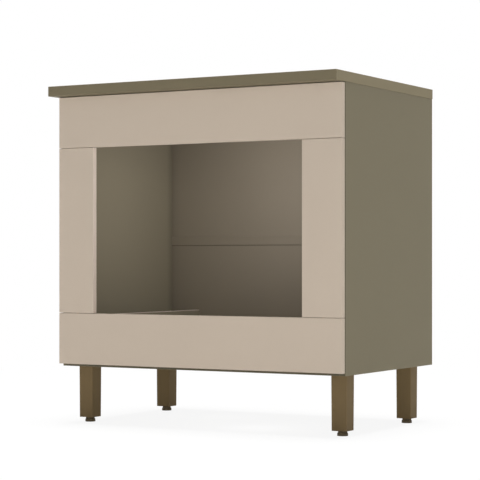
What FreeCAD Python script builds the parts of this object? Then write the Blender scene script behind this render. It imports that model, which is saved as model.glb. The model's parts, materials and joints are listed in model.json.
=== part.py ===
import FreeCAD, Part
import math
import os
from collections import namedtuple

# Oven base cabinet: a carcass of laminated board on four square legs, a fixed front frame round
# the oven opening, two oven runners and a worktop. Millimetres.
# The origin is on the floor under the middle of the worktop. +X is to the right seen from the
# front, +Y is towards the wall and +Z is up.

V = FreeCAD.Vector

# Carcass
CARCASS_WIDTH = 800.0
CARCASS_HEIGHT = 682.0
CARCASS_DEPTH = 503.0
BOARD = 15.0
STRETCHER_WIDTH = 90.0
BOARD_EASE = 0.5

# Worktop
WORKTOP_THICK = 25.0
OVERHANG_FRONT = 31.5
OVERHANG_LEFT = 12.0
OVERHANG_RIGHT = 1.5
WORKTOP_RADIUS = 1.2

# Front frame, which stands off the carcass on small angle brackets
FRONT_THICK = 15.0
FRONT_GAP = 3.0
TOP_RAIL_HEIGHT = 128.5
BOTTOM_RAIL_HEIGHT = 128.0
STILE_WIDTH = 104.5
FRONT_SEAM = 1.0
REVEAL_TOP = 1.5
REVEAL_BOTTOM = 6.5
FRONT_RADIUS = 0.8

# Back: two thin boards in grooves, joined by a moulded profile of H section
BACK_THICK = 3.0
BACK_CLEAR = 0.1
GROOVE_DEPTH = 6.0
GROOVE_FROM_REAR = 3.3
BACK_SIDE_CLEAR = 0.5
BACK_END_CLEAR = 0.5
PROFILE_ABOVE_BASE = 295.0
PROFILE_HEIGHT = 23.0
PROFILE_REAR_HEIGHT = 15.0
PROFILE_FLANGE = 1.5
PROFILE_REAR_FLANGE = 1.2
PROFILE_WEB = 1.5
PROFILE_END_CLEAR = 0.5
PROFILE_EDGE_RADIUS = 0.7

# Oven runners: boards on edge, flush with the inner edges of the stiles
RUNNER_THICK = 15.0
RUNNER_DROP = 3.5
EDGE_BAND = 1.0
RUNNER_REAR_CLEAR = 0.5

# Legs: drafted square mouldings pushed on to sockets under the base
LEG_TOP_SIZE = 41.0
LEG_FOOT_SIZE = 39.6
LEG_LENGTH = 133.0
LEG_WALL = 2.8
LEG_FLOOR = 4.0
LEG_CORNER = 2.0
LEG_INSET_SIDE = 18.5
LEG_INSET_FRONT = 43.5
LEG_INSET_REAR = 51.5
LEG_BOSS_RADIUS = 10.0
LEG_BOSS_HEIGHT = 14.0
LEG_RIB = 2.0
SOCKET_CLEAR = 0.2
SOCKET_HEIGHT = 28.0
SOCKET_WALL = 3.0
SOCKET_PLATE = 4.0

# Levelling feet: a threaded stem with a moulded grip collar, swivelling in a round pad. The stem
# screws down through a nut that is pressed into the leg from below.
FOOT_TRAVEL = 15.0
STEM_PAST_NUT = 2.0
PAD_RADIUS = 13.2
PAD_TOP_RADIUS = 12.6
PAD_HEIGHT = 7.4
PAD_FLOOR = 2.0
SWIVEL_GAP = 0.3
COLLAR_ACROSS_FLATS = 21.5
COLLAR_HEIGHT = 3.8
FOOT_GAP = 0.8
STEM_RADIUS = 4.0
STEM_HEAD_RADIUS = 5.6
STEM_HEAD_HEIGHT = 2.4
STEM_CLEAR = 0.05
STEM_PASSAGE_CLEAR = 0.5
NUT_ACROSS_FLATS = 13.0
NUT_HEIGHT = 6.5
NUT_CLEAR = 0.1

# Knock-down fittings: wooden dowels, and cam locks that draw a bolt screwed into the side
DOWEL_RADIUS = 4.0
DOWEL_LENGTH = 30.0
DOWEL_IN_SIDE = 10.0
DOWEL_CLEAR = 0.05
DOWEL_SLACK = 0.5
CAM_RADIUS = 7.5
CAM_HEIGHT = 12.3
CAM_CLEAR = 0.1
CAM_FROM_END = 24.0
CAM_SLOT = 7.6
BOLT_IN_SIDE = 11.0
BOLT_RADIUS = 2.5
BOLT_BORE_RADIUS = 4.0
BOLT_TIP_PAST_CAM = 2.0
FRAME_DOWEL_RADIUS = 3.0
FRAME_DOWEL_LENGTH = 30.0

# How far the fittings sit from the front and rear edges of their board
BASE_DOWEL_INSET = 36.0
BASE_CAM_INSET = 112.0
STRETCHER_DOWEL_INSET = 18.0
STRETCHER_CAM_INSET = 55.0
RUNNER_SCREW_INSET = 60.0

# Angle brackets between the front frame and the carcass
BRACKET_LEG = 22.0
BRACKET_WIDTH = 18.0
BRACKET_THICK = 2.0
BRACKET_HOLE_FROM_CORNER = 14.0
BRACKET_SPREAD_RAILS = 400.0

# Screws: head radius, head height, shank radius, length, and whether the head is sunk
Screw = namedtuple("Screw", "head_r head_h shank_r length sunk")
BRACKET_SCREW = Screw(3.5, 1.8, 1.75, 12.0, False)
SOCKET_SCREW = Screw(5.0, 2.8, 2.6, 16.0, False)
RUNNER_SCREW = Screw(4.6, 2.8, 2.6, 50.0, True)
WORKTOP_SCREW = Screw(4.5, 2.4, 2.1, 30.0, False)
SCREW_CLEAR = 0.05
HOLE_START = 1.0
WORKTOP_SCREW_SPREAD = 500.0

# Planes worked out from the sizes above
WORKTOP_WIDTH = OVERHANG_LEFT + CARCASS_WIDTH + OVERHANG_RIGHT
WORKTOP_DEPTH = OVERHANG_FRONT + FRONT_THICK + FRONT_GAP + CARCASS_DEPTH
LEFT = OVERHANG_LEFT - WORKTOP_WIDTH / 2
RIGHT = LEFT + CARCASS_WIDTH
FRAME_FRONT = OVERHANG_FRONT - WORKTOP_DEPTH / 2
FRAME_BACK = FRAME_FRONT + FRONT_THICK
FRONT = FRAME_BACK + FRONT_GAP
REAR = FRONT + CARCASS_DEPTH
FOOT_HEIGHT = PAD_HEIGHT + SWIVEL_GAP + COLLAR_HEIGHT + FOOT_GAP
BOTTOM = FOOT_HEIGHT + LEG_LENGTH
TOP = BOTTOM + CARCASS_HEIGHT
BASE_TOP = BOTTOM + BOARD
STRETCHER_BOTTOM = TOP - BOARD
INNER_LEFT = LEFT + BOARD
INNER_RIGHT = RIGHT - BOARD
GROOVE_BACK = REAR - GROOVE_FROM_REAR
GROOVE_FRONT = GROOVE_BACK - BACK_THICK - 2 * BACK_CLEAR
FRAME_BOTTOM = BOTTOM + REVEAL_BOTTOM
FRAME_TOP = TOP - REVEAL_TOP
OPENING_BOTTOM = FRAME_BOTTOM + BOTTOM_RAIL_HEIGHT
OPENING_TOP = FRAME_TOP - TOP_RAIL_HEIGHT
RUNNER_TOP = OPENING_BOTTOM - RUNNER_DROP
RUNNER_LEFT = LEFT + STILE_WIDTH - RUNNER_THICK
RUNNER_RIGHT = RIGHT - STILE_WIDTH
REAR_STRETCHER_FRONT = GROOVE_FRONT - STRETCHER_WIDTH
PROFILE_BOTTOM = BASE_TOP + PROFILE_ABOVE_BASE
PROFILE_MIDDLE = PROFILE_BOTTOM + PROFILE_HEIGHT / 2
NUT_TOP = FOOT_HEIGHT + NUT_HEIGHT


# General shapes

def box(x0, x1, y0, y1, z0, z1):
    """A block between two corners."""
    return Part.makeBox(x1 - x0, y1 - y0, z1 - z0, V(x0, y0, z0))


def rod(start, direction, radius, length):
    """A round bar from a point along a direction."""
    return Part.makeCylinder(radius, length, start, direction)


def turned(points):
    """A solid turned about Z from (radius, height) points."""
    wire = Part.makePolygon([V(r, 0, z) for r, z in points + points[:1]])
    return Part.Face(wire).revolve(V(0, 0, 0), V(0, 0, 1), 360)


def aimed(shape, point, direction):
    """A copy of a shape made along +Z from the origin, moved to a point and aimed along a direction."""
    copy = shape.copy()
    copy.Placement = FreeCAD.Placement(point, FreeCAD.Rotation(V(0, 0, 1), direction))
    return copy


def hexagon(across_flats, height):
    """A hexagonal prism on the XY plane."""
    corner = across_flats / math.sqrt(3)
    points = [V(corner * math.cos(a), corner * math.sin(a), 0)
              for a in (math.radians(60 * k) for k in range(7))]
    return Part.Face(Part.makePolygon(points)).extrude(V(0, 0, height))


def square(size, height):
    """A closed square outline at a height."""
    half = size / 2
    return Part.makePolygon([V(x, y, height) for x, y in
                             ((half, -half), (half, half), (-half, half), (-half, -half), (half, -half))])


def rounded_square(size, radius, height):
    """A closed square outline with round corners at a height."""
    half = size / 2
    flat = half - radius
    reach = flat + radius * math.sqrt(0.5)
    edges = []
    for turn in range(4):
        spin = FreeCAD.Rotation(V(0, 0, 1), 90 * turn)
        a, b, middle, c = (spin.multVec(V(x, y, 0)) + V(0, 0, height) for x, y in
                           ((half, -flat), (half, flat), (reach, reach), (flat, half)))
        edges.append(Part.LineSegment(a, b).toShape())
        edges.append(Part.Arc(b, middle, c).toShape())
    return Part.Wire(edges)


def eased(shape, size):
    """A board with all its edges taken off by a small chamfer."""
    return shape.makeChamfer(size, shape.Edges)


def rounded(shape, radius, directions):
    """A board with the edges of some faces rounded, given by the directions that the faces look in."""
    faces = [f for f in shape.Faces for d in directions if f.normalAt(0, 0).isEqual(d, 1e-6)]
    edges = {e.hashCode(): e for f in faces for e in f.Edges}
    return shape.makeFillet(radius, list(edges.values()))


def screw_form(kind, grow=0.0):
    """A screw along +Z with its seat at the origin; grow makes its hole, open from just outside."""
    head, shank, end = kind.head_r + grow, kind.shank_r + grow, kind.length + grow
    if kind.sunk:
        profile = [(0, 0), (head, 0), (shank, kind.head_h + grow)]
    elif grow:
        profile = [(0, -HOLE_START), (shank, -HOLE_START)]
    else:
        profile = [(0, -kind.head_h), (head, -kind.head_h), (head, 0), (shank, 0)]
    return turned(profile + [(shank, end), (0, end)])


def screw_holes(kind, sites):
    """The cutters for a group of screws; a head that isn't sunk stays outside the board."""
    form = screw_form(kind, SCREW_CLEAR)
    return [aimed(form, point, direction) for point, direction in sites]


def screws(kind, sites):
    """A group of like screws as separate solids."""
    return Part.makeCompound([aimed(screw_form(kind), p, d) for p, d in sites])


# Where the boards join the sides

EndJoint = namedtuple("EndJoint", "under y_dowels y_cams")


def base_joint():
    """The joint of the base to a side: a dowel near each edge and two cams clear of the legs."""
    return EndJoint(BOTTOM, [FRONT + BASE_DOWEL_INSET, GROOVE_FRONT - BASE_DOWEL_INSET],
                    [FRONT + BASE_CAM_INSET, GROOVE_FRONT - BASE_CAM_INSET])


def stretcher_joint(y_front):
    """The joint of a stretcher to a side: one dowel and one cam."""
    return EndJoint(STRETCHER_BOTTOM, [y_front + STRETCHER_DOWEL_INSET],
                    [y_front + STRETCHER_CAM_INSET])


def all_joints():
    """Every board-to-side joint."""
    return [base_joint(), stretcher_joint(FRONT), stretcher_joint(REAR_STRETCHER_FRONT)]


def ends():
    """The inner face of each side, with the direction into that side."""
    return [(INNER_LEFT, V(-1, 0, 0)), (INNER_RIGHT, V(1, 0, 0))]


def side_bores(x, outwards, joints):
    """Dowel and bolt holes bored into a side from its inner face."""
    cutters = []
    for joint in joints:
        z = joint.under + BOARD / 2
        cutters += [rod(V(x, y, z), outwards, DOWEL_RADIUS + DOWEL_CLEAR, DOWEL_IN_SIDE + DOWEL_SLACK)
                    for y in joint.y_dowels]
        cutters += [rod(V(x, y, z), outwards, BOLT_RADIUS + SCREW_CLEAR,
                        BOLT_IN_SIDE + DOWEL_SLACK) for y in joint.y_cams]
    return cutters


def end_bores(joint):
    """Dowel, bolt and cam holes bored into a board that joins both sides."""
    cutters = []
    z = joint.under + BOARD / 2
    for x, outwards in ends():
        inwards = -outwards
        cutters += [rod(V(x, y, z), inwards, DOWEL_RADIUS + DOWEL_CLEAR,
                        DOWEL_LENGTH - DOWEL_IN_SIDE + DOWEL_SLACK) for y in joint.y_dowels]
        for y in joint.y_cams:
            cutters.append(rod(V(x, y, z), inwards, BOLT_BORE_RADIUS, CAM_FROM_END))
            cutters.append(rod(V(x, y, joint.under) + inwards * CAM_FROM_END, V(0, 0, 1),
                               CAM_RADIUS + CAM_CLEAR, CAM_HEIGHT + CAM_CLEAR))
    return cutters


def make_carcass_dowels():
    """Wooden dowels between the boards and the sides."""
    return Part.makeCompound([
        rod(V(x, y, joint.under + BOARD / 2) + outwards * DOWEL_IN_SIDE, -outwards, DOWEL_RADIUS,
            DOWEL_LENGTH) for joint in all_joints() for x, outwards in ends() for y in joint.y_dowels])


def make_cam_bolts():
    """Bolts that screw into the sides and end in the cam locks."""
    length = BOLT_IN_SIDE + CAM_FROM_END + BOLT_TIP_PAST_CAM
    return Part.makeCompound([
        rod(V(x, y, joint.under + BOARD / 2) + outwards * BOLT_IN_SIDE, -outwards, BOLT_RADIUS, length)
        for joint in all_joints() for x, outwards in ends() for y in joint.y_cams])


def make_cam_locks():
    """Round cam locks in the undersides of the boards, slotted for their bolts."""
    cams = []
    for joint in all_joints():
        z = joint.under
        for x, outwards in ends():
            for y in joint.y_cams:
                middle = V(x, y, z) - outwards * CAM_FROM_END
                cam = rod(middle, V(0, 0, 1), CAM_RADIUS, CAM_HEIGHT)
                low = z + (BOARD - CAM_SLOT) / 2
                reach = middle.x + outwards.x * (CAM_RADIUS + CAM_CLEAR)
                back = middle.x - outwards.x * (BOLT_TIP_PAST_CAM + CAM_CLEAR)
                slot = box(min(reach, back), max(reach, back), y - CAM_SLOT / 2, y + CAM_SLOT / 2,
                           low, low + CAM_SLOT)
                cams.append(cam.cut(slot))
    return Part.makeCompound(cams)


# Front frame brackets and their screws

def bracket_sites():
    """The corner of each bracket on the back of the frame, with the way its board faces."""
    middle_x = (LEFT + RIGHT) / 2
    half = BRACKET_SPREAD_RAILS / 2
    stile_middle = (OPENING_BOTTOM + OPENING_TOP) / 2
    sites = []
    for x in (middle_x - half, middle_x + half):
        sites.append((V(x, FRAME_BACK, BASE_TOP), V(0, 0, 1)))
        sites.append((V(x, FRAME_BACK, STRETCHER_BOTTOM), V(0, 0, -1)))
    return sites + [(V(x, FRAME_BACK, stile_middle), -outwards) for x, outwards in ends()]


def frame_screw_sites():
    """Bracket screws that go forwards into the frame, seen from the bracket's face."""
    rise = V(0, BRACKET_THICK, 0)
    return [(corner + facing * BRACKET_HOLE_FROM_CORNER + rise, V(0, -1, 0))
            for corner, facing in bracket_sites()]


def carcass_screw_sites():
    """Bracket screws that go into the carcass boards."""
    along = V(0, BRACKET_HOLE_FROM_CORNER, 0)
    return [(corner + along + facing * BRACKET_THICK, -facing) for corner, facing in bracket_sites()]


def make_front_brackets():
    """Bent steel angles with one hole in each leg."""
    t, leg, half = BRACKET_THICK, BRACKET_LEG, BRACKET_WIDTH / 2
    outline = [(0, 0), (leg, 0), (leg, t), (t, t), (t, leg), (0, leg), (0, 0)]
    holes = screw_holes(BRACKET_SCREW, frame_screw_sites() + carcass_screw_sites())
    brackets = []
    for corner, facing in bracket_sites():
        sideways = facing.cross(V(0, 1, 0))
        start = corner - sideways * half
        wire = Part.makePolygon([start + facing * u + V(0, v, 0) for u, v in outline])
        bracket = Part.Face(wire).extrude(sideways * (2 * half))
        brackets.append(bracket.cut(holes))
    return Part.makeCompound(brackets)


def make_bracket_screws():
    """The screws of the angle brackets."""
    return screws(BRACKET_SCREW, frame_screw_sites() + carcass_screw_sites())


# Screws of the carcass

def runner_screw_sites():
    """Long screws up through the base into both runners."""
    rows = (FRONT + RUNNER_SCREW_INSET, GROOVE_FRONT - RUNNER_SCREW_INSET)
    return [(V(x + RUNNER_THICK / 2, y, BOTTOM), V(0, 0, 1))
            for x in (RUNNER_LEFT, RUNNER_RIGHT) for y in rows]


def worktop_screw_sites():
    """Screws up through both stretchers into the worktop."""
    middle_x = (LEFT + RIGHT) / 2
    rows = (FRONT + STRETCHER_WIDTH / 2, REAR_STRETCHER_FRONT + STRETCHER_WIDTH / 2)
    half = WORKTOP_SCREW_SPREAD / 2
    return [(V(x, y, STRETCHER_BOTTOM), V(0, 0, 1))
            for y in rows for x in (middle_x - half, middle_x + half)]


def leg_corners():
    """The name and the middle of each leg."""
    half = LEG_TOP_SIZE / 2
    xs = (("left", LEFT + LEG_INSET_SIDE + half), ("right", RIGHT - LEG_INSET_SIDE - half))
    ys = (("front", FRONT + LEG_INSET_FRONT + half), ("rear", REAR - LEG_INSET_REAR - half))
    return [(row + "_" + hand, V(x, y, 0)) for row, y in ys for hand, x in xs]


def socket_screw_sites():
    """A screw up through the middle of each leg socket into the base."""
    return [(middle + V(0, 0, BOTTOM - SOCKET_PLATE), V(0, 0, 1)) for _, middle in leg_corners()]


def make_runner_screws():
    """The long screws that hold the oven runners."""
    return screws(RUNNER_SCREW, runner_screw_sites())


def make_worktop_screws():
    """The screws that hold the worktop."""
    return screws(WORKTOP_SCREW, worktop_screw_sites())


def make_socket_screws():
    """The screws that hold the leg sockets."""
    return screws(SOCKET_SCREW, socket_screw_sites())


# Boards

def make_worktop():
    """The worktop, with its top edges softly rounded and blind screw holes below."""
    y0 = FRAME_FRONT - OVERHANG_FRONT
    slab = box(LEFT - OVERHANG_LEFT, RIGHT + OVERHANG_RIGHT, y0, REAR, TOP, TOP + WORKTOP_THICK)
    slab = rounded(slab, WORKTOP_RADIUS, [V(0, 0, 1)])
    return slab.cut(screw_holes(WORKTOP_SCREW, worktop_screw_sites()))


def make_side(x0, inner_x, outwards):
    """A side panel, grooved for the back and bored for its fittings."""
    board = eased(box(x0, x0 + BOARD, FRONT, REAR, BOTTOM, TOP), BOARD_EASE)
    deep = inner_x + outwards.x * GROOVE_DEPTH
    groove = box(min(inner_x, deep), max(inner_x, deep), GROOVE_FRONT, GROOVE_BACK, BOTTOM, TOP)
    cutters = side_bores(inner_x, outwards, all_joints()) + [groove]
    return board.cut(cutters + screw_holes(BRACKET_SCREW, carcass_screw_sites()))


def make_side_panel_left():
    """The left side panel."""
    return make_side(LEFT, INNER_LEFT, V(-1, 0, 0))


def make_side_panel_right():
    """The right side panel."""
    return make_side(INNER_RIGHT, INNER_RIGHT, V(1, 0, 0))


def make_base_panel():
    """The base between the sides, on which the runners stand, grooved for the lower back board."""
    board = eased(box(INNER_LEFT, INNER_RIGHT, FRONT, REAR, BOTTOM, BASE_TOP), BOARD_EASE)
    cutters = end_bores(base_joint())
    cutters.append(box(INNER_LEFT, INNER_RIGHT, GROOVE_FRONT, GROOVE_BACK, BASE_TOP - GROOVE_DEPTH,
                       BASE_TOP))
    cutters += screw_holes(RUNNER_SCREW, runner_screw_sites())
    cutters += screw_holes(SOCKET_SCREW, socket_screw_sites())
    cutters += screw_holes(BRACKET_SCREW, carcass_screw_sites())
    return board.cut(cutters)


def make_stretcher(y_front, y_back):
    """A flat stretcher under the worktop."""
    board = eased(box(INNER_LEFT, INNER_RIGHT, y_front, y_back, STRETCHER_BOTTOM, TOP), BOARD_EASE)
    cutters = end_bores(stretcher_joint(y_front))
    cutters += screw_holes(WORKTOP_SCREW, worktop_screw_sites())
    cutters += screw_holes(BRACKET_SCREW, carcass_screw_sites())
    return board.cut(cutters)


def make_stretcher_front():
    """The stretcher at the front."""
    return make_stretcher(FRONT, FRONT + STRETCHER_WIDTH)


def make_stretcher_rear():
    """The stretcher at the rear, up against the back."""
    return make_stretcher(REAR_STRETCHER_FRONT, GROOVE_FRONT)


def make_runner(x0):
    """An oven runner: a board on edge that stands on the base."""
    board = box(x0, x0 + RUNNER_THICK, FRONT, GROOVE_FRONT - RUNNER_REAR_CLEAR, BASE_TOP,
                RUNNER_TOP - EDGE_BAND)
    return board.cut(screw_holes(RUNNER_SCREW, runner_screw_sites()))


def make_runner_band(x0):
    """The pale edge band along the top of a runner."""
    band = box(x0, x0 + RUNNER_THICK, FRONT, GROOVE_FRONT - RUNNER_REAR_CLEAR,
               RUNNER_TOP - EDGE_BAND, RUNNER_TOP)
    top_edges = [e for e in band.Edges if e.BoundBox.ZMin > RUNNER_TOP - EDGE_BAND / 2]
    return band.makeFillet(EDGE_BAND / 2, top_edges)


# Back

def make_back_board(z0, z1):
    """A thin back board that runs in the grooves of both sides."""
    side = GROOVE_DEPTH - BACK_SIDE_CLEAR
    return box(INNER_LEFT - side, INNER_RIGHT + side, GROOVE_FRONT + BACK_CLEAR,
               GROOVE_BACK - BACK_CLEAR, z0, z1)


def make_back_panel_lower():
    """The lower back board, which stands in the groove of the base and carries the profile."""
    return make_back_board(BASE_TOP - GROOVE_DEPTH, PROFILE_MIDDLE - PROFILE_WEB / 2)


def make_back_panel_upper():
    """The upper back board, which stands on the web of the profile behind the rear stretcher."""
    return make_back_board(PROFILE_MIDDLE + PROFILE_WEB / 2, TOP - BACK_END_CLEAR)


def make_back_profile():
    """The H section that takes the meeting edges of the two back boards."""
    x0, x1 = INNER_LEFT + PROFILE_END_CLEAR, INNER_RIGHT - PROFILE_END_CLEAR
    front = GROOVE_FRONT - PROFILE_FLANGE
    rear = GROOVE_BACK + PROFILE_REAR_FLANGE
    flange = box(x0, x1, front, GROOVE_FRONT, PROFILE_BOTTOM, PROFILE_BOTTOM + PROFILE_HEIGHT)
    upper_edge = [e for e in flange.Edges
                  if e.BoundBox.ZMin > PROFILE_MIDDLE and e.BoundBox.YMax < front + PROFILE_EDGE_RADIUS]
    flange = flange.makeFillet(PROFILE_EDGE_RADIUS, upper_edge)
    web = box(x0, x1, GROOVE_FRONT, GROOVE_BACK, PROFILE_MIDDLE - PROFILE_WEB / 2,
              PROFILE_MIDDLE + PROFILE_WEB / 2)
    back = box(x0, x1, GROOVE_BACK, rear, PROFILE_MIDDLE - PROFILE_REAR_HEIGHT / 2,
               PROFILE_MIDDLE + PROFILE_REAR_HEIGHT / 2)
    return flange.fuse([web, back]).removeSplitter()


# Front frame

def frame_dowel_sites():
    """The lower end of each dowel between a stile and a rail."""
    y = (FRAME_FRONT + FRAME_BACK) / 2
    seams = (OPENING_BOTTOM + FRONT_SEAM / 2, OPENING_TOP - FRONT_SEAM / 2)
    middles = (LEFT + STILE_WIDTH / 2, RIGHT - STILE_WIDTH / 2)
    return [V(x, y, z - FRAME_DOWEL_LENGTH / 2) for z in seams for x in middles]


def frame_dowel_holes():
    """The cutters for the frame dowels."""
    slack = V(0, 0, DOWEL_SLACK)
    return [rod(p - slack, V(0, 0, 1), FRAME_DOWEL_RADIUS + DOWEL_CLEAR,
                FRAME_DOWEL_LENGTH + 2 * DOWEL_SLACK) for p in frame_dowel_sites()]


def make_front_board(x0, x1, z0, z1):
    """One board of the front frame, rounded round its front face."""
    board = rounded(box(x0, x1, FRAME_FRONT, FRAME_BACK, z0, z1), FRONT_RADIUS, [V(0, -1, 0)])
    return board.cut(frame_dowel_holes() + screw_holes(BRACKET_SCREW, frame_screw_sites()))


def make_front_rail_top():
    """The full-width rail above the opening."""
    return make_front_board(LEFT, RIGHT, OPENING_TOP, FRAME_TOP)


def make_front_rail_bottom():
    """The full-width rail below the opening."""
    return make_front_board(LEFT, RIGHT, FRAME_BOTTOM, OPENING_BOTTOM)


def make_front_stile_left():
    """The stile left of the opening."""
    return make_front_board(LEFT, LEFT + STILE_WIDTH, OPENING_BOTTOM + FRONT_SEAM,
                            OPENING_TOP - FRONT_SEAM)


def make_front_stile_right():
    """The stile right of the opening."""
    return make_front_board(RIGHT - STILE_WIDTH, RIGHT, OPENING_BOTTOM + FRONT_SEAM,
                            OPENING_TOP - FRONT_SEAM)


def make_frame_dowels():
    """Thin dowels that line up the stiles and the rails."""
    return Part.makeCompound([rod(p, V(0, 0, 1), FRAME_DOWEL_RADIUS, FRAME_DOWEL_LENGTH)
                              for p in frame_dowel_sites()])


# Legs and levelling feet

def leg_size_at(z):
    """The outer size of a leg at a height, which the draft makes smaller downwards."""
    share = (z - FOOT_HEIGHT) / LEG_LENGTH
    return LEG_FOOT_SIZE + (LEG_TOP_SIZE - LEG_FOOT_SIZE) * share


def make_leg(middle):
    """A hollow drafted leg with a ribbed boss for the nut in its foot."""
    low = FOOT_HEIGHT + LEG_FLOOR
    outside = Part.makeLoft([rounded_square(LEG_FOOT_SIZE, LEG_CORNER, FOOT_HEIGHT),
                             rounded_square(LEG_TOP_SIZE, LEG_CORNER, BOTTOM)], True, True)
    hollow = Part.makeLoft([square(leg_size_at(low) - 2 * LEG_WALL, low),
                            square(LEG_TOP_SIZE - 2 * LEG_WALL, BOTTOM)], True, True)
    boss = rod(V(0, 0, low), V(0, 0, 1), LEG_BOSS_RADIUS, LEG_BOSS_HEIGHT)
    reach = LEG_FOOT_SIZE / 2 - LEG_WALL / 2
    ribs = [box(-reach, reach, -LEG_RIB / 2, LEG_RIB / 2, low, low + LEG_BOSS_HEIGHT),
            box(-LEG_RIB / 2, LEG_RIB / 2, -reach, reach, low, low + LEG_BOSS_HEIGHT)]
    passage = rod(V(0, 0, FOOT_HEIGHT), V(0, 0, 1), STEM_RADIUS + STEM_PASSAGE_CLEAR,
                  LEG_FLOOR + LEG_BOSS_HEIGHT)
    pocket = hexagon(NUT_ACROSS_FLATS + 2 * NUT_CLEAR, NUT_HEIGHT)
    pocket.translate(V(0, 0, FOOT_HEIGHT))
    leg = outside.cut(hollow).fuse([boss] + ribs).cut([passage, pocket]).removeSplitter()
    leg.translate(middle)
    return leg


def make_leg_socket(middle):
    """The plug screwed under the base that a leg is pushed on to."""
    low = BOTTOM - SOCKET_HEIGHT
    low_size = leg_size_at(low) - 2 * (LEG_WALL + SOCKET_CLEAR)
    top_size = LEG_TOP_SIZE - 2 * (LEG_WALL + SOCKET_CLEAR)
    outside = Part.makeLoft([square(low_size, low), square(top_size, BOTTOM)], True, True)
    half = low_size / 2 - SOCKET_WALL
    hollow = box(-half, half, -half, half, low, BOTTOM - SOCKET_PLATE)
    socket = outside.cut(hollow)
    socket.translate(middle)
    return socket.cut(screw_holes(SOCKET_SCREW, socket_screw_sites()))


def make_leg_nut(middle):
    """The hexagonal nut pressed into the bottom of a leg."""
    bore = rod(V(0, 0, 0), V(0, 0, 1), STEM_RADIUS + STEM_CLEAR, NUT_HEIGHT)
    nut = hexagon(NUT_ACROSS_FLATS, NUT_HEIGHT).cut(bore)
    nut.translate(middle + V(0, 0, FOOT_HEIGHT))
    return nut


def make_foot_pad(middle):
    """The round pad on the floor, with a well that keeps the stem's head."""
    lip = STEM_RADIUS + 2 * STEM_CLEAR
    well = STEM_HEAD_RADIUS + SWIVEL_GAP
    well_top = PAD_FLOOR + STEM_HEAD_HEIGHT + 2 * STEM_CLEAR
    pad = turned([(0, 0), (PAD_RADIUS, 0), (PAD_TOP_RADIUS, PAD_HEIGHT), (lip, PAD_HEIGHT),
                  (lip, well_top), (well, well_top), (well, PAD_FLOOR), (0, PAD_FLOOR)])
    pad.translate(middle)
    return pad


def make_foot_stem(middle):
    """The threaded stem, with a flat head that swivels in the pad."""
    low = PAD_FLOOR + STEM_CLEAR
    top = NUT_TOP + FOOT_TRAVEL + STEM_PAST_NUT
    r = STEM_RADIUS
    stem = turned([(0, low), (STEM_HEAD_RADIUS, low), (STEM_HEAD_RADIUS, low + STEM_HEAD_HEIGHT),
                   (r, low + STEM_HEAD_HEIGHT), (r, top), (0, top)])
    stem.translate(middle)
    return stem


def make_foot_collar(middle):
    """The six-sided grip moulded round the stem above the pad."""
    bore = rod(V(0, 0, 0), V(0, 0, 1), STEM_RADIUS, COLLAR_HEIGHT)
    collar = hexagon(COLLAR_ACROSS_FLATS, COLLAR_HEIGHT).cut(bore)
    collar.translate(middle + V(0, 0, PAD_HEIGHT + SWIVEL_GAP))
    return collar


def all_nodes():
    """Every node of the cabinet with its shape."""
    nodes = {
        "worktop": make_worktop(),
        "side_panel_left": make_side_panel_left(),
        "side_panel_right": make_side_panel_right(),
        "base_panel": make_base_panel(),
        "stretcher_front": make_stretcher_front(),
        "stretcher_rear": make_stretcher_rear(),
        "back_panel_lower": make_back_panel_lower(),
        "back_panel_upper": make_back_panel_upper(),
        "back_joint_profile": make_back_profile(),
        "front_rail_top": make_front_rail_top(),
        "front_rail_bottom": make_front_rail_bottom(),
        "front_stile_left": make_front_stile_left(),
        "front_stile_right": make_front_stile_right(),
        "oven_runner_left": make_runner(RUNNER_LEFT),
        "oven_runner_right": make_runner(RUNNER_RIGHT),
        "runner_edge_band_left": make_runner_band(RUNNER_LEFT),
        "runner_edge_band_right": make_runner_band(RUNNER_RIGHT),
        "carcass_dowels": make_carcass_dowels(),
        "cam_bolts": make_cam_bolts(),
        "cam_locks": make_cam_locks(),
        "frame_dowels": make_frame_dowels(),
        "front_brackets": make_front_brackets(),
        "bracket_screws": make_bracket_screws(),
        "runner_screws": make_runner_screws(),
        "worktop_screws": make_worktop_screws(),
        "leg_socket_screws": make_socket_screws(),
    }
    for name, middle in leg_corners():
        nodes["leg_" + name] = make_leg(middle)
        nodes["leg_socket_" + name] = make_leg_socket(middle)
        nodes["leg_nut_" + name] = make_leg_nut(middle)
        nodes["foot_pad_" + name] = make_foot_pad(middle)
        nodes["foot_stem_" + name] = make_foot_stem(middle)
        nodes["foot_collar_" + name] = make_foot_collar(middle)
    return nodes


def main():
    """Write one file for each node and print what it holds."""
    os.makedirs("parts", exist_ok=True)
    for name, shape in all_nodes().items():
        shape.exportStep(os.path.join("parts", name + ".step"))
        print("%-26s solids %2d  volume %11.1f mm3  valid %s"
              % (name, len(shape.Solids), shape.Volume, shape.isValid()))


main()
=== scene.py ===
"""The looks of an oven base cabinet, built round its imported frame. Metres.

The origin is on the floor under the middle of the worktop, +X is to the right seen from the
front, +Y is towards the wall and +Z is up.
"""
import json
import logging
import math
from dataclasses import dataclass, field, replace
from enum import Enum
from functools import cache
from typing import Any, Union

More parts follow.
